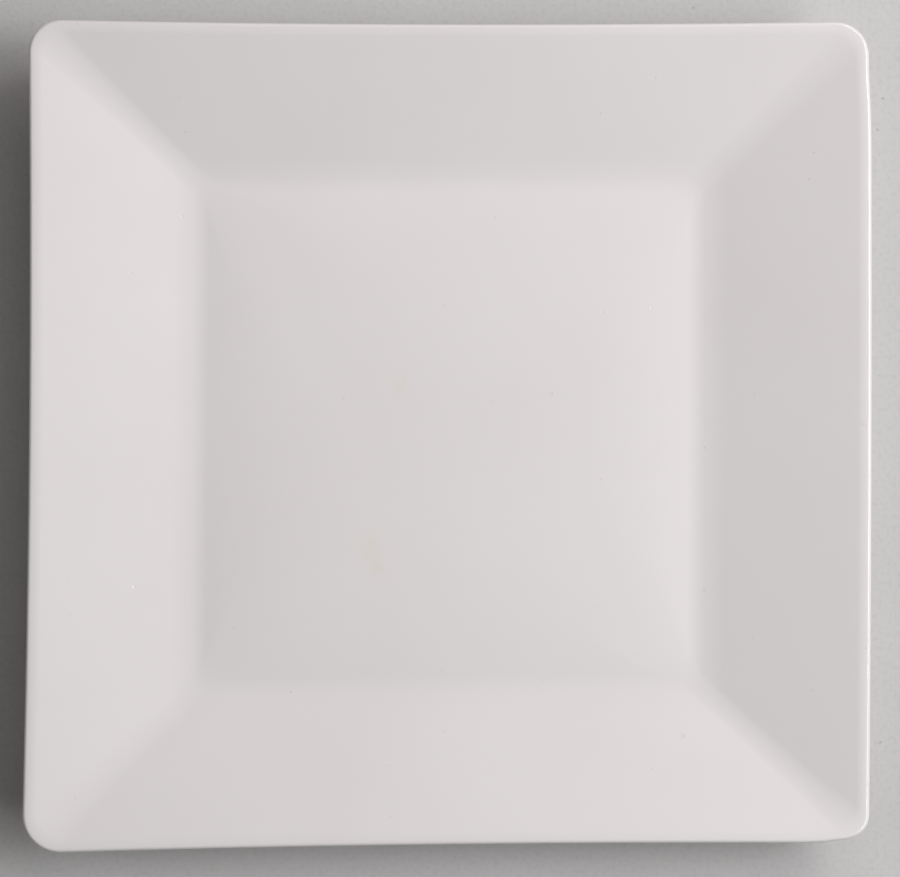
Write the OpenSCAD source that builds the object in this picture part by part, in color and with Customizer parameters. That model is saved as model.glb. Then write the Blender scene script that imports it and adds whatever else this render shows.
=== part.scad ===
// Square salad plate in glazed stoneware, with a wide sloping rim, soft mitred corners and a square well.
// Units are millimetres. +Z is up, +X points to the plate's right and +Y to its back.
// The origin lies in the middle of the plane on which the foot ring rests.
// All sizes are finished sizes over the glaze. The clay lies one glaze thickness inside them.

/* [Plan] */
// Width over the lip, left to right
plate_w = 210; // [196:1:230]
// Depth over the lip, front to back
plate_d = 205.5; // [196:0.5:230]
// Corner radius of the outline, seen from above
corner_r = 8.6; // [7:0.1:16]
// How far the middle of each side lies inside the line between its corners
side_bow = 0.5; // [0:0.1:1.5]
// Width of the well where the rim's face would meet its floor, left to right
well_w = 130; // [122:1:136]
// Depth of the well where the rim's face would meet its floor, front to back
well_d = 131; // [122:1:136]
// Corner radius of the well
well_corner_r = 4.5; // [3.5:0.5:9]

/* [Section] */
// Height from the table to the top of the lip
plate_h = 20; // [18.5:0.5:24]
// Thickness of the lip, which is the height of its outer face
lip_t = 4; // [3.4:0.1:5]
// Radius of the lip's upper edge
lip_edge_r = 1; // [0.8:0.1:1.4]
// Radius of the lip's lower edge
lip_under_r = 1.6; // [1:0.1:1.8]
// Radius of the soft roll between the rim's face and the top of the lip
lip_roll_r = 9; // [5:0.5:12]
// Thickness of the base between the recess and the lowest line of the well
base_t = 5; // [4.4:0.1:6]
// Radius of the bend that rises out of the well
well_bend_r = 16; // [10:1:24]
// Radius at which that bend eases into the rim's face
rim_ease_r = 45; // [30:1:60]
// Share of the rim's slope that the bend has at the start of the ease
bend_share = 0.6; // [0.4:0.05:0.8]
// Rise of the middle of the well above the edge of its crown
well_crown = 1.6; // [0:0.1:1.8]

/* [Foot ring] */
// Width of the foot ring, left to right
foot_w = 124; // [116:1:128]
// Depth of the foot ring, front to back
foot_d = 124; // [116:1:128]
// Corner radius of the foot ring's outside
foot_corner_r = 10; // [9:0.5:14]
// Breadth of the foot ring
foot_t = 6; // [5:0.5:7]
// Height of the base over the table, inside the foot ring
foot_h = 4; // [3.4:0.1:4.6]
// Height at which the foot's outer wall starts to bend into the underside
foot_wall_h = 1.6; // [1.5:0.1:2.2]
// Radius of the bend between the foot's outer wall and the underside
foot_fillet_r = 2; // [1:0.5:4]
// Radius of the foot's outer bottom edge
foot_edge_r = 0.7; // [0.4:0.1:0.8]
// Chamfer of the foot's inner bottom edge
foot_chamfer = 0.6; // [0.4:0.1:0.8]
// Radius of the bend between the foot's inner wall and the base
recess_fillet_r = 1.5; // [0.8:0.1:1.7]

/* [Glaze] */
// Thickness of the glaze
glaze_t = 0.4; // [0.3:0.05:0.5]
// Height over the table at which the glaze stops on the foot ring
dry_h = 1.1; // [0.9:0.1:1.3]

/* [Build] */
// Solid to draw

/* [Hidden] */
// Steps of each rounded corner, and of each side between two corners
corner_steps = 10;
side_steps = 4;
ring_points = 4 * (corner_steps + side_steps);
// Steps of the lip's lower and upper edge, of its roll, of the rim's face, of the ease and of the well's bend
lip_low_steps = 4;
lip_high_steps = 5;
roll_steps = 3;
rim_steps = 4;
ease_steps = 3;
well_steps = 4;
// Steps of each bend at the foot ring
bend_steps = 4;
// Shares of the crown's size at which it has a ring
crown_rings = [0.88, 0.74, 0.58, 0.36];

half_w = plate_w / 2;
half_d = plate_d / 2;
edge_x = half_w - lip_edge_r;
edge_z = plate_h - lip_edge_r;
roll_z = plate_h - lip_roll_r;
low_x = half_w - lip_under_r;
low_z = plate_h - lip_t + lip_under_r;

// The rim's face runs from the well to the lip, tangent to the lip's roll
well_z = foot_h + base_t;
rim_run = [edge_x - well_w / 2, roll_z - well_z];
rim_angle = atan2(rim_run[1], rim_run[0]) + asin(lip_roll_r / norm(rim_run));

// The bend has its lowest line at bend_x, and goes on to the edge of the crown, which rises to the middle
ease_angle = bend_share * rim_angle;
bend_run = (well_bend_r - rim_ease_r) * sin(ease_angle) + rim_ease_r * sin(rim_angle);
bend_rise = well_bend_r * (1 - cos(ease_angle)) + rim_ease_r * (cos(ease_angle) - cos(rim_angle));
bend_x = well_w / 2 - bend_run + bend_rise / tan(rim_angle);
bend_y = bend_x + (well_d - well_w) / 2;
bend_z = well_z + well_bend_r;
ease_x = bend_x + (well_bend_r - rim_ease_r) * sin(ease_angle);
ease_z = bend_z - (well_bend_r - rim_ease_r) * cos(ease_angle);
crown_power = 4;
crown_angle = atan(crown_power * well_crown / bend_x);

// The mitres keep the well's corner radius over most of the rim, and grow to the lip's radius near the lip
mitre_power = 3;

// The underside runs from the foot's bend to the lip's edge, tangent to both
foot_x = foot_w / 2;
foot_y = foot_d / 2;
under_x = foot_x + foot_fillet_r;
under_run = [low_x - under_x, low_z - foot_wall_h];
under_angle = atan2(under_run[1], under_run[0]) - asin((lip_under_r + foot_fillet_r) / norm(under_run));

// Inside of the foot ring
recess_x = foot_x - foot_t;

function blend(from, to, share) = from + (to - from) * share;

// Points of an arc in the section plane, as distance from the middle and height
function arc(x, z, r, from, to, steps) = [
    for (i = [0 : steps])
        let (a = blend(from, to, i / steps))
        [x + r * cos(a), z + r * sin(a)]
];

// One closed rounded rectangle with its sides bowed in
function ring(a, b, r, bow, z) = [
    for (q = [0 : 3])
        let (
            sx = [1, -1, -1, 1],
            sy = [1, 1, -1, -1],
            out = [cos(90 * q + 90), sin(90 * q + 90)],
            mid = [sx[q] * (a - r), sy[q] * (b - r)],
            next = [sx[(q + 1) % 4] * (a - r), sy[(q + 1) % 4] * (b - r)]
        )
        each concat(
            [for (i = [0 : corner_steps])
                let (t = 90 * (q + i / corner_steps))
                [mid[0] + r * cos(t), mid[1] + r * sin(t), z]],
            [for (i = [1 : side_steps - 1])
                let (
                    s = i / side_steps,
                    in = r - bow * pow(sin(180 * s), 2),
                    p = blend(mid, next, s) + in * out
                )
                [p[0], p[1], z]]
        )
];

// Ring of the face: parallel to the outline on the lip, blending to the well, growing round to its middle
function face_ring(p) =
    let (
        x = p[0],
        share = (x - bend_x) / (half_w - bend_x),
        y = x < bend_x ? x * bend_y / bend_x : blend(bend_y, half_d, share),
        round_share = blend(1, well_corner_r / min(bend_x, bend_y), pow(x / bend_x, 2)),
        rise = (x - bend_x) / (edge_x - bend_x),
        r = x > edge_x ? corner_r - (half_w - x)
            : x > bend_x ? blend(well_corner_r, corner_r - lip_edge_r, pow(rise, mitre_power))
            : min(x, y) * round_share
    )
    ring(x, y, r, side_bow * max(0, share), p[1]);

// Ring of the underside: parallel to the foot ring up to its wall, then blending to the outline of the lip
function under_ring(p) =
    let (
        x = p[0],
        share = (x - foot_x) / (half_w - foot_x),
        y = x < foot_x ? x + foot_y - foot_x : blend(foot_y, half_d, share),
        r = x > low_x ? corner_r - (half_w - x)
            : x > foot_x ? blend(foot_corner_r, corner_r - lip_under_r, (x - foot_x) / (low_x - foot_x))
            : foot_corner_r - (foot_x - x)
    )
    ring(x, y, r, side_bow * max(0, share), p[1]);

// Section of the underside at a depth below the finished surface, from the foot's bend to the lip's face
function under_section(depth) = concat(
    arc(under_x, foot_wall_h, foot_fillet_r + depth, 180, 90 + under_angle, bend_steps),
    arc(low_x, low_z, lip_under_r - depth, under_angle - 90, 0, lip_low_steps)
);

// Edge of the well's crown at a depth below the finished surface
function crown_edge(depth) = [
    bend_x - (well_bend_r + depth) * sin(crown_angle),
    bend_z - (well_bend_r + depth) * cos(crown_angle)
];

// Section of the face at a depth below the finished surface, from the lip's face to near the middle
function face_section(depth) =
    let (
        lip = arc(edge_x, edge_z, lip_edge_r - depth, 0, 90, lip_high_steps),
        roll = arc(edge_x, roll_z, lip_roll_r - depth, 90, 90 + rim_angle, roll_steps),
        ease = arc(ease_x, ease_z, rim_ease_r + depth, rim_angle - 90, ease_angle - 90, ease_steps),
        edge = crown_edge(depth)
    )
    concat(
        lip,
        [for (i = [1 : roll_steps]) roll[i]],
        [for (i = [1 : rim_steps - 1]) blend(roll[roll_steps], ease[0], i / rim_steps)],
        [for (i = [0 : ease_steps - 1]) ease[i]],
        arc(bend_x, bend_z, well_bend_r + depth, ease_angle - 90, -90 - crown_angle, well_steps),
        [for (q = crown_rings) [edge[0] * q, edge[1] + well_crown * (1 - pow(q, crown_power))]]
    );

function crown_top(depth) = [0, 0, crown_edge(depth)[1] + well_crown];

// Rings of the whole coated surface at a depth below the finished one
function coat_rings(depth) = concat(
    [for (p = under_section(depth)) under_ring(p)],
    [for (p = face_section(depth)) face_ring(p)]
);

// Section of the recess inside the foot ring, from its bend to the flat of the base
function recess_section(depth) =
    arc(recess_x - recess_fillet_r, foot_h - recess_fillet_r, recess_fillet_r + depth, 0, 90, bend_steps);

function flatten(list) = [for (part = list) each part];

// Faces of the band between two rings, each given by the number of its first point, seen from outside
function band(low, high) = [
    for (i = [0 : ring_points - 1])
        let (j = (i + 1) % ring_points)
        each [[low + i, high + i, high + j], [low + i, high + j, low + j]]
];

// Faces of the bands between a row of rings
function bands(first, count) = [
    for (k = [0 : count - 2]) each band(first + k * ring_points, first + (k + 1) * ring_points)
];

// Faces from the last ring in to a middle point
function fan(first, tip) = [
    for (i = [0 : ring_points - 1]) [first + i, tip, first + (i + 1) % ring_points]
];

function turned(faces) = [for (f = faces) [f[0], f[2], f[1]]];

// Solid between a middle point at its bottom, a row of rings and a middle point at its top
module loft(bottom, rings, top) {
    count = len(rings);
    last = (count - 1) * ring_points;
    low_tip = count * ring_points;
    polyhedron(
        points = concat(flatten(rings), [bottom, top]),
        faces = concat(
            bands(0, count),
            turned(fan(0, low_tip)),
            fan(last, low_tip + 1)
        ),
        convexity = 6
    );
}

// Film between two rows of rings of the same length, each closed by a middle point
module film(outer, outer_tip, inner, inner_tip) {
    count = len(outer);
    start = count * ring_points;
    outer_end = 2 * start;
    polyhedron(
        points = concat(flatten(outer), flatten(inner), [outer_tip, inner_tip]),
        faces = concat(
            bands(0, count),
            fan(start - ring_points, outer_end),
            turned(bands(start, count)),
            turned(fan(outer_end - ring_points, outer_end + 1)),
            band(start, 0)
        ),
        convexity = 8
    );
}

// Outside of the clay, with a flat bottom in place of the recess
module clay_outside() {
    edge = arc(foot_x - glaze_t - foot_edge_r, foot_edge_r, foot_edge_r, -90, 0, bend_steps);
    loft(
        [0, 0, 0],
        concat([for (p = edge) under_ring(p)], coat_rings(glaze_t)),
        crown_top(glaze_t)
    );
}

// Space inside the clay's foot ring
module recess() {
    wall_x = recess_x + glaze_t;
    mouth = [[wall_x + foot_chamfer + 1, -1], [wall_x, foot_chamfer]];
    loft(
        [0, 0, -1],
        [for (p = concat(mouth, recess_section(glaze_t))) under_ring(p)],
        [0, 0, foot_h + glaze_t]
    );
}

module clay_body() {
    color([0.84, 0.79, 0.71])
    difference() {
        clay_outside();
        recess();
    }
}

module glaze_coat() {
    color([0.93, 0.92, 0.91])
    film(
        concat([under_ring([foot_x, dry_h])], coat_rings(0)),
        crown_top(0),
        concat([under_ring([foot_x - glaze_t, dry_h])], coat_rings(glaze_t)),
        crown_top(glaze_t)
    );
}

module base_glaze() {
    color([0.92, 0.91, 0.90])
    film(
        [for (p = concat([[recess_x + glaze_t, dry_h]], recess_section(glaze_t))) under_ring(p)],
        [0, 0, foot_h + glaze_t],
        [for (p = concat([[recess_x, dry_h]], recess_section(0))) under_ring(p)],
        [0, 0, foot_h]
    );
}

clay_body();
glaze_coat();
base_glaze();
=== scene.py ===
"""Square salad plate in off-white glazed stoneware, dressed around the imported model.

Lengths of the plate and of the marks in its materials are in millimetres, as in the part's source,
and become metres when a mesh or a material is made. The set around the plate is in metres.
"""

import math

import bpy
import numpy as np
from mathutils import Euler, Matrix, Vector


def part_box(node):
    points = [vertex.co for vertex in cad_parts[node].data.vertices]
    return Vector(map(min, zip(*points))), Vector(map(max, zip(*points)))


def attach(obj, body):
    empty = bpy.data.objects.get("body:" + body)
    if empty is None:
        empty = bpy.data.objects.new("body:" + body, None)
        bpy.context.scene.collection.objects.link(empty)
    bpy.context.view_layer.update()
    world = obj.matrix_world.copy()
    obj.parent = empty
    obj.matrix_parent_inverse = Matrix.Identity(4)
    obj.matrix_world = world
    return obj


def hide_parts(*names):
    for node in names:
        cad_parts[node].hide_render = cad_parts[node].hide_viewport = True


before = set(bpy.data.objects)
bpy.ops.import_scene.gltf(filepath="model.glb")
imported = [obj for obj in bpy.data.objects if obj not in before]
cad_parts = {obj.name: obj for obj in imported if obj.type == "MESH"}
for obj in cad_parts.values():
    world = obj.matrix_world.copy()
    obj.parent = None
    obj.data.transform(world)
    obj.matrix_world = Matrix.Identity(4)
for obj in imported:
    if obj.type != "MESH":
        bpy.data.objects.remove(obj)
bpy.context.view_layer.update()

MM = 0.001
QUARTER = math.pi / 2

# Sides of the four corners, in the order in which a ring passes them
CORNERS = ((1, 1), (-1, 1), (-1, -1), (1, -1))

# Plan
coat_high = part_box("glaze_coat")[1]
half_w = coat_high.x / MM
half_d = coat_high.y / MM
corner_r = 8.6
well_half_w = 65.0
well_half_d = 65.5
well_corner_r = 4.5
mitre_power = 3

# Section
plate_h = coat_high.z / MM
lip_t = 4.0
lip_edge_r = 1.0
lip_under_r = 1.6
lip_roll_r = 9.0
base_t = 5.0
well_bend_r = 16.0
rim_ease_r = 45.0
bend_share = 0.6
well_crown = 1.6
crown_power = 4

# Foot ring
foot_half = 62.0
foot_corner_r = 10.0
foot_t = 6.0
foot_h = 4.0
foot_wall_h = 1.6
foot_fillet_r = 2.0
foot_edge_r = 0.7
foot_chamfer = 0.6
recess_fillet_r = 1.5

# Glaze films, the chamfer of their edge on the foot ring, and the gap that keeps the clay inside them
glaze_t = 0.4
film_edge_t = 0.1
film_edge_h = 0.25
clay_gap = 0.02

# Glaze line on the foot ring: its height, how far it swings, and where its waves start on either side
dry_h = 1.1
line_swing = 0.2
outer_phase = 0.4
inner_phase = 2.0

# Waves of the glaze line: their number around the foot, and their shares of the swing and of the phase
line_waves = ((7, 0.6, 1), (17, 0.4, 2))

# How far drying and firing moved each corner of the lip in plan, in the order of CORNERS
corner_moves = ((-0.1, 0.0), (1.5, -1.0), (0.1, 0.0), (-1.0, 1.3))

# Each corner's share of the even corner radius, in the order of CORNERS
corner_share = (1.07, 0.95, 1.14, 0.81)

# How far the middle of each side lies inside the line between its corners
right_bow = -0.4
back_bow = 1.0
left_bow = 1.0
front_bow = 1.0

# Two places where the lip is drawn in: how far, how far from the side's corner, and over which length
right_pinch = (0.6, 11.0, 9.0)
front_pinch = (0.8, 5.5, 5.0)

# Outer share of the way to the lip over which the bows and the drawn-in places come in
bow_reach = 0.45

# The rim's face runs from the well to the lip, tangent to the lip's roll
edge_x = half_w - lip_edge_r
edge_z = plate_h - lip_edge_r
roll_z = plate_h - lip_roll_r
well_z = foot_h + base_t
rim_run = (edge_x - well_half_w, roll_z - well_z)
rim_angle = math.atan2(rim_run[1], rim_run[0]) + math.asin(lip_roll_r / math.hypot(*rim_run))

# The bend out of the well has its lowest line at bend_x and eases into the rim's face
ease_angle = bend_share * rim_angle
ease_gap = rim_ease_r - well_bend_r
bend_run = rim_ease_r * math.sin(rim_angle) - ease_gap * math.sin(ease_angle)
bend_rise = well_bend_r + ease_gap * math.cos(ease_angle) - rim_ease_r * math.cos(rim_angle)
bend_x = well_half_w - bend_run + bend_rise / math.tan(rim_angle)
bend_y = bend_x + well_half_d - well_half_w
bend_z = well_z + well_bend_r
ease_x = bend_x - ease_gap * math.sin(ease_angle)
ease_z = bend_z + ease_gap * math.cos(ease_angle)
crown_angle = math.atan(crown_power * well_crown / bend_x)

# The underside runs from the foot's bend to the lip's lower edge, tangent to both
low_x = half_w - lip_under_r
low_z = plate_h - lip_t + lip_under_r
under_x = foot_half + foot_fillet_r
under_run = (low_x - under_x, low_z - foot_wall_h)
under_turn = math.asin((lip_under_r + foot_fillet_r) / math.hypot(*under_run))
under_angle = math.atan2(under_run[1], under_run[0]) - under_turn
recess_x = foot_half - foot_t

# Pale wall around the set, and the distances over which the paper runs into it
wall_color = (0.5, 0.495, 0.49)
fade_start = 0.3
fade_end = 1.0

# Steps of the meshes around a ring
CORNER_STEPS = 16
SIDE_STEPS = 40

# Steps of the meshes along the section
FOOT_STEPS = 6
BEND_STEPS = 8
UNDER_STEPS = 14
LIP_STEPS = 10
EDGE_STEPS = 4
RIM_STEPS = 16
WELL_STEPS = 16
CROWN_STEPS = 28

# Range that holds most values of a noise
NOISE_LOW = 0.3
NOISE_HIGH = 0.7

# Shares of its radius between which a speck fades, and up to which a patch is at its full strength
SPECK_CORE = 0.5
SPECK_RIM = 1.3
PATCH_CORE = 0.25

# Numbers of a Mix node's colour sockets, whose names it has several times
MIX_UNDER = 6
MIX_OVER = 7
MIX_COLOR = 2


def blend(start, end, share):
    """Value at a share of the way from start to end."""
    return start + (end - start) * share


def arc(x, z, r, start, end, steps):
    """Points of an arc in the section plane."""
    a = np.linspace(start, end, steps + 1)
    return np.column_stack((x + r * np.cos(a), z + r * np.sin(a)))


def between(start, end, steps):
    """Points strictly between two points."""
    share = np.linspace(0, 1, steps + 1)[1:-1, None]
    return blend(np.asarray(start), np.asarray(end), share)


def ring(half_x, half_y, r, z, set_share=0.0):
    """Rounded rectangle at a height, whose corner radii part from each other by set_share."""
    radii = [r * blend(1, share, set_share) for share in corner_share]
    mids = [
        np.array([side * (half_x - radius), end * (half_y - radius)])
        for (side, end), radius in zip(CORNERS, radii)
    ]
    rows = []
    for q in range(4):
        following = (q + 1) % 4
        turn = QUARTER * q + np.linspace(0, QUARTER, CORNER_STEPS + 1)
        corner = mids[q] + radii[q] * np.column_stack((np.cos(turn), np.sin(turn)))
        out = np.array([math.cos(QUARTER * (q + 1)), math.sin(QUARTER * (q + 1))])
        rows.append(corner)
        rows.append(between(corner[-1], mids[following] + radii[following] * out, SIDE_STEPS))
    flat = np.vstack(rows)
    return np.column_stack((flat, np.full(len(flat), z)))


def face_ring(p):
    """Ring of the face, from the lip's outline over the well's to a round middle."""
    x, z = p
    if x <= bend_x:
        inside = x / bend_x
        r = x * blend(1, well_corner_r / bend_x, inside**2)
        return ring(x, x * bend_y / bend_x, r, z)
    if x <= edge_x:
        rise = (x - bend_x) / (edge_x - bend_x)
        r = blend(well_corner_r, corner_r - lip_edge_r, rise**mitre_power)
    else:
        r = corner_r - (half_w - x)
    share = (x - bend_x) / (half_w - bend_x)
    return ring(x, blend(bend_y, half_d, share), r, z, share)


def under_ring(p):
    """Ring of the underside, from the foot ring's outline to the lip's."""
    x, z = p
    if x <= foot_half:
        return ring(x, x, foot_corner_r - (foot_half - x), z)
    if x <= low_x:
        rise = (x - foot_half) / (low_x - foot_half)
        r = blend(foot_corner_r, corner_r - lip_under_r, rise)
    else:
        r = corner_r - (half_w - x)
    share = (x - foot_half) / (half_w - foot_half)
    return ring(x, blend(foot_half, half_d, share), r, z, share)


def coat_rings(depth):
    """Rings of the glazed outside at a depth below its surface, from the foot's bend to the well."""
    bend = arc(under_x, foot_wall_h, foot_fillet_r + depth, math.pi, QUARTER + under_angle, BEND_STEPS)
    low_lip = arc(low_x, low_z, lip_under_r - depth, under_angle - QUARTER, 0, LIP_STEPS)
    top_lip = arc(edge_x, edge_z, lip_edge_r - depth, 0, QUARTER, LIP_STEPS)
    roll = arc(edge_x, roll_z, lip_roll_r - depth, QUARTER, QUARTER + rim_angle, BEND_STEPS)
    ease_end = ease_angle - QUARTER
    ease = arc(ease_x, ease_z, rim_ease_r + depth, rim_angle - QUARTER, ease_end, BEND_STEPS)
    well = arc(bend_x, bend_z, well_bend_r + depth, ease_end, -QUARTER - crown_angle, WELL_STEPS)
    crown_x, crown_z = well[-1]
    inward = np.linspace(1, 0, CROWN_STEPS + 1)[1:-1]
    crown = np.column_stack((crown_x * inward, crown_z + well_crown * (1 - inward**crown_power)))
    under = np.vstack((bend, between(bend[-1], low_lip[0], UNDER_STEPS), low_lip))
    lip = np.vstack((between(low_lip[-1], top_lip[0], EDGE_STEPS), top_lip, roll[1:]))
    face = np.vstack((lip, between(roll[-1], ease[0], RIM_STEPS), ease[:-1], well, crown))
    return [under_ring(p) for p in under] + [face_ring(p) for p in face]


def coat_tip(depth):
    """Middle of the crowned well at a depth below its surface."""
    well_edge_z = bend_z - (well_bend_r + depth) * math.cos(crown_angle)
    return (0.0, 0.0, well_edge_z + well_crown)


def recess_rings(depth):
    """Rings of the recess inside the foot ring, from its bend to the flat of the base."""
    middle = (recess_x - recess_fillet_r, foot_h - recess_fillet_r)
    return [under_ring(p) for p in arc(*middle, recess_fillet_r + depth, 0, QUARTER, BEND_STEPS)]


def wavy_ring(x, z, phase):
    """Ring of the foot whose height swings as a brushed glaze line does."""
    points = under_ring((x, z))
    turn = np.linspace(0, 2 * math.pi, len(points), endpoint=False)
    waves = sum(share * np.sin(count * turn + part * phase) for count, share, part in line_waves)
    points[:, 2] += line_swing * waves
    return points


def film_edge(surface_x, inward, phase):
    """Rings of a glaze film's edge on the foot ring, from the clay to the film's surface."""
    places = (
        (surface_x + inward * glaze_t, dry_h),
        (surface_x + inward * film_edge_t, dry_h),
        (surface_x, dry_h + film_edge_h),
    )
    return [wavy_ring(x, z, phase) for x, z in places]


def lip_share(t):
    """Rises smoothly from 0 over most of the well to 1 at the lip."""
    share = np.clip((t - (1 - bow_reach)) / bow_reach, 0, 1)
    return share * share * (3 - 2 * share)


def pinch(from_corner, place):
    """How far a side of the lip is drawn in at a distance from its corner."""
    depth, middle, reach = place
    return depth * np.exp(-(((from_corner - middle) / reach) ** 2))


def fired(points):
    """Places of the points after drying and firing."""
    u = points[:, 0] / half_w
    v = points[:, 1] / half_d
    moved = points.copy()
    for (side, end), (dx, dy) in zip(CORNERS, corner_moves):
        weight = (1 + side * u) * (1 + end * v) / 4
        moved[:, 0] += weight * dx
        moved[:, 1] += weight * dy
    moved[:, 0] += (1 - v**2) * (left_bow * lip_share(-u) - right_bow * lip_share(u))
    moved[:, 1] += (1 - u**2) * (front_bow * lip_share(-v) - back_bow * lip_share(v))
    moved[:, 0] -= lip_share(u) * pinch(half_d - points[:, 1], right_pinch)
    moved[:, 1] += lip_share(-v) * pinch(half_w - points[:, 0], front_pinch)
    return moved


def band_faces(low, high, count):
    """Quads between two rings, each given by the number of its first point."""
    following = np.roll(np.arange(count), -1)
    return [(low + i, low + following[i], high + following[i], high + i) for i in range(count)]


def make_piece(name, rows, first_tip, last_tip):
    """Closed mesh through a row of rings, ending in a middle point at each end."""
    count = len(rows[0])
    last = (len(rows) - 1) * count
    tip = len(rows) * count
    faces = [(i, tip, (i + 1) % count) for i in range(count)]
    for low in range(0, last, count):
        faces += band_faces(low, low + count, count)
    faces += [(last + i, last + (i + 1) % count, tip + 1) for i in range(count)]
    points = fired(np.vstack((*rows, [first_tip], [last_tip])))
    mesh = bpy.data.meshes.new(name)
    mesh.from_pydata((points * MM).tolist(), [], faces)
    mesh.validate()
    mesh.shade_smooth()
    piece = bpy.data.objects.new(name, mesh)
    bpy.context.scene.collection.objects.link(piece)
    return piece


def dress(piece, node_name, material):
    """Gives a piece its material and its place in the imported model."""
    piece.data.materials.append(material)
    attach(piece, "root")
    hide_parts(node_name)


def node(tree, kind, inputs, **settings):
    """Adds a node, sets its options, and sets or links its inputs."""
    made = tree.nodes.new(kind)
    for name, value in settings.items():
        setattr(made, name, value)
    for name, value in inputs.items():
        if isinstance(value, bpy.types.NodeSocket):
            tree.links.new(value, made.inputs[name])
        else:
            made.inputs[name].default_value = value
    return made


def new_material(name):
    """Material with its tree, shader and object coordinates in metres."""
    material = bpy.data.materials.new(name)
    material.use_nodes = True
    tree = material.node_tree
    shader = tree.nodes["Principled BSDF"]
    place = node(tree, "ShaderNodeTexCoord", {}).outputs["Object"]
    return material, tree, shader, place


def noise(tree, place, size, detail=2.0):
    """Noise whose lumps are about size millimetres wide."""
    inputs = {"Vector": place, "Scale": 1 / (size * MM), "Detail": detail}
    return node(tree, "ShaderNodeTexNoise", inputs).outputs["Fac"]


def ramp(tree, factor, low_color, high_color):
    """Runs from one colour to another over the range of a noise."""
    made = node(tree, "ShaderNodeValToRGB", {"Fac": factor})
    ends = made.color_ramp.elements
    ends[0].position = NOISE_LOW
    ends[0].color = (*low_color, 1)
    ends[1].position = NOISE_HIGH
    ends[1].color = (*high_color, 1)
    return made.outputs["Color"]


def span(tree, value, low, high, low_out, high_out):
    """Maps a range of a value smoothly to another range."""
    names = ("Value", "From Min", "From Max", "To Min", "To Max")
    inputs = dict(zip(names, (value, low, high, low_out, high_out)))
    made = node(tree, "ShaderNodeMapRange", inputs, interpolation_type="SMOOTHSTEP")
    return made.outputs["Result"]


def tint(tree, factor, under, over):
    """Lays a colour over another by a factor."""
    inputs = {"Factor": factor, MIX_UNDER: under, MIX_OVER: (*over, 1)}
    return node(tree, "ShaderNodeMix", inputs, data_type="RGBA").outputs[MIX_COLOR]


def times(tree, first, second):
    """Product of two values."""
    return node(tree, "ShaderNodeMath", {0: first, 1: second}, operation="MULTIPLY").outputs["Value"]


def larger(tree, first, second):
    """The larger one of two values."""
    return node(tree, "ShaderNodeMath", {0: first, 1: second}, operation="MAXIMUM").outputs["Value"]


def length(tree, vector):
    """Length of a vector."""
    return node(tree, "ShaderNodeVectorMath", {0: vector}, operation="LENGTH").outputs["Value"]


def specks(tree, place, spacing, radius, kept):
    """Mask of round specks, seen from above, of which a share is kept, each at its own strength."""
    inputs = {"Vector": place, "Scale": 1 / (spacing * MM)}
    cells = node(tree, "ShaderNodeTexVoronoi", inputs, voronoi_dimensions="2D")
    edge = radius / spacing
    spot = span(tree, cells.outputs["Distance"], SPECK_CORE * edge, SPECK_RIM * edge, 1.0, 0.0)
    chance = node(tree, "ShaderNodeSeparateColor", {"Color": cells.outputs["Color"]}).outputs["Red"]
    return times(tree, spot, span(tree, chance, 1 - kept, 1.0, 0.0, 1.0))


def patch(tree, place, middle, half_size, turn=0.0):
    """Soft mask of an oval patch, seen from above."""
    inputs = {
        "Vector": place,
        "Location": (middle[0] * MM, middle[1] * MM, 0),
        "Rotation": (0, 0, math.radians(turn)),
        "Scale": (half_size[0] * MM, half_size[1] * MM, 1),
    }
    local = node(tree, "ShaderNodeMapping", inputs, vector_type="TEXTURE").outputs["Vector"]
    return span(tree, length(tree, local), PATCH_CORE, 1.0, 1.0, 0.0)


def bump(tree, height, depth, normal=None):
    """Bump of a depth in millimetres, over an earlier one."""
    inputs = {"Height": height, "Distance": depth * MM, "Strength": 1.0}
    if normal is not None:
        inputs["Normal"] = normal
    return node(tree, "ShaderNodeBump", inputs).outputs["Normal"]


def seen(tree):
    """1 for rays from the camera, off gloss and through glass, and 0 for all others."""
    path = node(tree, "ShaderNodeLightPath", {})
    share = path.outputs["Is Camera Ray"]
    for kind in ("Is Glossy Ray", "Is Transmission Ray"):
        share = larger(tree, share, path.outputs[kind])
    return share


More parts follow.
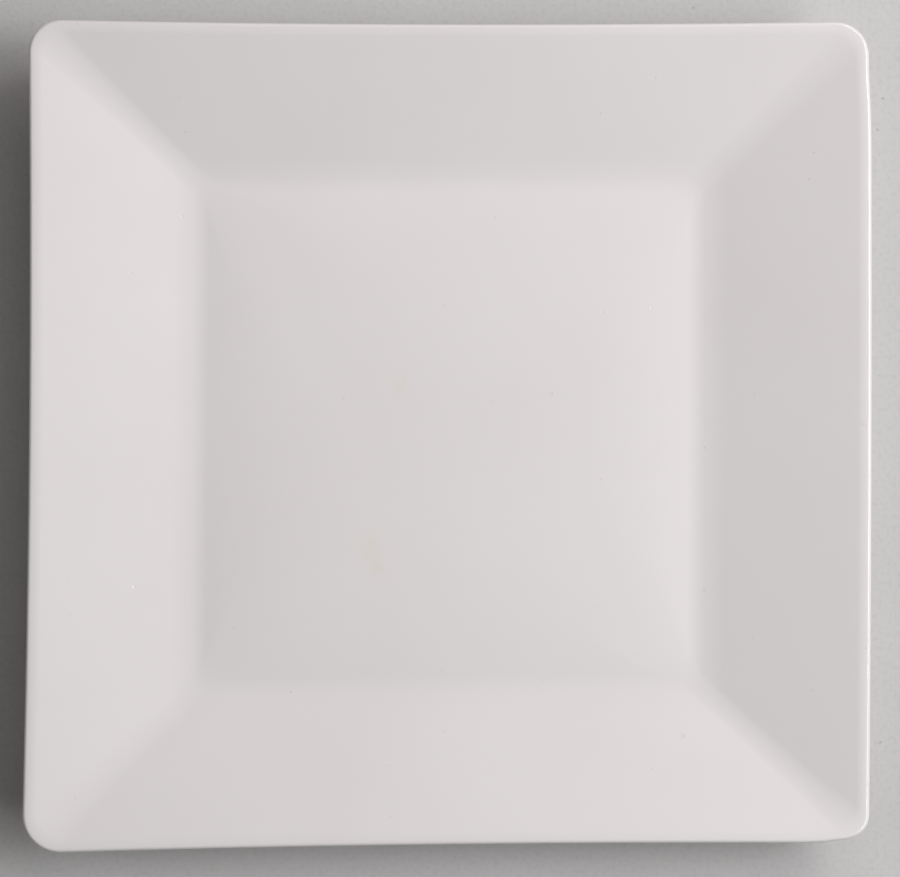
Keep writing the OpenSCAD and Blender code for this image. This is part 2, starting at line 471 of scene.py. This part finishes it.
def make_glaze():
    material, tree, shader, place = new_material("glaze")

    # Off-white with a slow drift in tone
    drift = noise(tree, place, size=45, detail=6.0)
    color = ramp(tree, drift, (0.773, 0.738, 0.74), (0.793, 0.758, 0.762))

    # Tan stains in the well and on the right lip: middle, half size, turn in degrees and strength
    tan = (0.75, 0.67, 0.55)
    stains = (
        ((-18.7, -30.0), (5.0, 9.0), 20, 0.3),
        ((-12.0, 12.7), (3.0, 5.0), -15, 0.22),
        ((-8.7, 1.6), (2.0, 3.0), 0, 0.2),
        ((103.1, 2.5), (0.8, 2.2), 0, 0.7),
    )
    blot = noise(tree, place, size=3.5, detail=3.0)
    for middle, half_size, turn, strength in stains:
        uneven = span(tree, blot, NOISE_LOW, NOISE_HIGH, 0.0, strength)
        mask = times(tree, patch(tree, place, middle, half_size, turn), uneven)
        color = tint(tree, mask, color, tan)

    # Two faint rust marks: middle, half size and strength
    rust = (0.42, 0.27, 0.17)
    marks = (
        ((102.4, 2.4), (0.5, 0.6), 0.12),
        ((58.7, -75.4), (0.9, 0.8), 0.15),
    )
    for middle, half_size, strength in marks:
        mask = times(tree, patch(tree, place, middle, half_size), strength)
        color = tint(tree, mask, color, rust)

    # Pinholes
    hole_color = (0.33, 0.28, 0.25)
    hole_strength = 0.22
    holes = specks(tree, place, spacing=13, radius=0.28, kept=0.3)
    color = tint(tree, times(tree, holes, hole_strength), color, hole_color)
    tree.links.new(color, shader.inputs["Base Color"])

    # Gloss, a little duller where cutlery and cloth have rubbed it
    rubbed = noise(tree, place, size=9, detail=4.0)
    roughness = span(tree, rubbed, low=0.35, high=0.75, low_out=0.085, high_out=0.13)
    tree.links.new(roughness, shader.inputs["Roughness"])

    # Slow waves of the glaze, its fine skin and the dents of the pinholes
    normal = bump(tree, noise(tree, place, size=26, detail=1.0), depth=0.03)
    normal = bump(tree, noise(tree, place, size=2.2, detail=1.0), depth=0.0008, normal=normal)
    normal = bump(tree, times(tree, holes, -1.0), depth=0.03, normal=normal)
    tree.links.new(normal, shader.inputs["Normal"])
    return material


def make_clay():
    material, tree, shader, place = new_material("clay")

    # Buff with a slow drift in tone and dark grains
    grain_color = (0.42, 0.31, 0.21)
    drift = noise(tree, place, size=6, detail=4.0)
    color = ramp(tree, drift, (0.6, 0.49, 0.36), (0.72, 0.62, 0.49))
    grain = noise(tree, place, size=0.35, detail=3.0)
    mask = span(tree, grain, low=0.6, high=0.75, low_out=0.0, high_out=0.35)
    color = tint(tree, mask, color, grain_color)
    tree.links.new(color, shader.inputs["Base Color"])

    # Dry and rough, with lumps and grains
    roughness = span(tree, grain, NOISE_LOW, NOISE_HIGH, low_out=0.78, high_out=0.95)
    tree.links.new(roughness, shader.inputs["Roughness"])
    normal = bump(tree, noise(tree, place, size=1.6, detail=3.0), depth=0.06)
    normal = bump(tree, grain, depth=0.05, normal=normal)
    tree.links.new(normal, shader.inputs["Normal"])
    return material


def make_paper():
    material, tree, shader, place = new_material("paper")

    # Pale grey with a slow drift in tone and darker fibres
    fibre_color = (0.46, 0.455, 0.455)
    drift = noise(tree, place, size=60)
    color = ramp(tree, drift, (0.558, 0.55, 0.549), (0.578, 0.57, 0.569))
    fibre = noise(tree, place, size=1.2, detail=4.0)
    mask = span(tree, fibre, low=0.45, high=0.7, low_out=0.0, high_out=0.3)
    color = tint(tree, mask, color, fibre_color)

    # Dust
    dust_color = (0.2, 0.19, 0.18)
    dust_strength = 0.45
    dust = specks(tree, place, spacing=16, radius=0.35, kept=0.3)
    color = tint(tree, times(tree, dust, dust_strength), color, dust_color)
    tree.links.new(color, shader.inputs["Base Color"])

    # Dull, with raised fibres
    roughness = span(tree, fibre, NOISE_LOW, NOISE_HIGH, low_out=0.8, high_out=0.92)
    tree.links.new(roughness, shader.inputs["Roughness"])
    tree.links.new(bump(tree, fibre, depth=0.05), shader.inputs["Normal"])

    # Far from the plate the paper runs into the pale wall
    away = span(tree, length(tree, place), fade_start, fade_end, 0.0, 1.0)
    share = times(tree, away, seen(tree))
    wall = node(tree, "ShaderNodeEmission", {"Color": (*wall_color, 1), "Strength": 1.0})
    parts = {0: share, 1: shader.outputs["BSDF"], 2: wall.outputs["Emission"]}
    both = node(tree, "ShaderNodeMixShader", parts)
    tree.links.new(both.outputs["Shader"], tree.nodes["Material Output"].inputs["Surface"])
    return material


def add_lamp(name, reach, rise, turn, size, energy, color):
    """Rectangular lamp that faces the plate from a distance, an elevation and an azimuth in degrees."""
    data = bpy.data.lights.new(name, "AREA")
    data.shape = "RECTANGLE"
    data.size, data.size_y = size
    data.energy = energy
    data.color = color
    lamp = bpy.data.objects.new(name, data)
    out = Euler((0, -math.radians(rise), math.radians(turn))).to_matrix() @ Vector((1, 0, 0))
    lamp.location = reach * out
    lamp.rotation_mode = "QUATERNION"
    lamp.rotation_quaternion = (-out).to_track_quat("-Z", "Y")
    bpy.context.scene.collection.objects.link(lamp)


# Clay body, a hair inside the glaze, with the bare foot ring
clay_depth = glaze_t + clay_gap
clay_wall = foot_half - glaze_t
clay_recess = recess_x + clay_depth
foot_edge = arc(clay_wall - foot_edge_r, foot_edge_r, foot_edge_r, -QUARTER, 0, FOOT_STEPS)
foot_in = [(clay_recess, foot_chamfer), (clay_recess + foot_chamfer, 0.0)]
clay_rows = recess_rings(clay_depth)[::-1]
clay_rows += [under_ring(p) for p in foot_in]
clay_rows += [under_ring(p) for p in foot_edge]
clay_rows += coat_rings(clay_depth)
clay_body = make_piece("clay_body_skin", clay_rows, (0, 0, foot_h + clay_depth), coat_tip(clay_depth))
dress(clay_body, "clay_body", make_clay())

# Glaze over the face, the lip and the underside, ending in a wavy line on the foot ring
glaze = make_glaze()
coat_rows = coat_rings(glaze_t)[::-1]
coat_rows += film_edge(foot_half, -1, outer_phase)
coat_rows += coat_rings(0.0)
glaze_coat = make_piece("glaze_coat_skin", coat_rows, coat_tip(glaze_t), coat_tip(0.0))
dress(glaze_coat, "glaze_coat", glaze)

# Glaze inside the foot ring
base_rows = recess_rings(0.0)[::-1]
base_rows += film_edge(recess_x, 1, inner_phase)[::-1]
base_rows += recess_rings(glaze_t)
base_glaze = make_piece("base_glaze_skin", base_rows, (0, 0, foot_h), (0, 0, foot_h + glaze_t))
dress(base_glaze, "base_glaze", glaze)

# Sheet of pale paper under the plate
floor_half = 3.0
floor_corners = [(side * floor_half, end * floor_half, 0) for side, end in CORNERS]
floor_mesh = bpy.data.meshes.new("floor")
floor_mesh.from_pydata(floor_corners, [], [(0, 1, 2, 3)])
floor_mesh.materials.append(make_paper())
floor = bpy.data.objects.new("floor", floor_mesh)
bpy.context.scene.collection.objects.link(floor)

# Pale wall, which the camera and the gloss see and which doesn't light the plate
world = bpy.data.worlds.new("studio")
world.use_nodes = True
room = world.node_tree.nodes["Background"]
room.inputs["Color"].default_value = (*wall_color, 1)
world.node_tree.links.new(seen(world.node_tree), room.inputs["Strength"])
bpy.context.scene.world = world

# Two wide soft lamps at the right, a weaker warm one at the back and a soft fill at the left
key_size = (1.0, 0.36)
soft_size = (0.6, 0.5)
white = (1.0, 1.0, 1.0)
warm = (1.0, 0.95, 0.9)
ivory = (1.0, 1.0, 0.98)
add_lamp("key_front", reach=1.15, rise=50, turn=-13, size=key_size, energy=6.55, color=white)
add_lamp("key_back", reach=1.15, rise=50, turn=27, size=key_size, energy=7.05, color=white)
add_lamp("back", reach=1.0, rise=42, turn=75, size=soft_size, energy=1.75, color=warm)
add_lamp("fill", reach=1.1, rise=45, turn=175, size=soft_size, energy=1.15, color=ivory)

# Camera over the plate, a little to the left and the front of its middle and tilted back to it
camera_tilt = (0.615, -2.321)
camera_data = bpy.data.cameras.new("camera")
camera_data.sensor_width = 36
camera_data.lens = 102.39
camera = bpy.data.objects.new("camera", camera_data)
camera.location = (-0.02551, -0.00791, 0.65)
camera.rotation_euler = Euler((math.radians(camera_tilt[0]), math.radians(camera_tilt[1]), 0.0), "XYZ")
bpy.context.scene.collection.objects.link(camera)
bpy.context.scene.camera = camera

bpy.context.scene.view_settings.view_transform = "Standard"
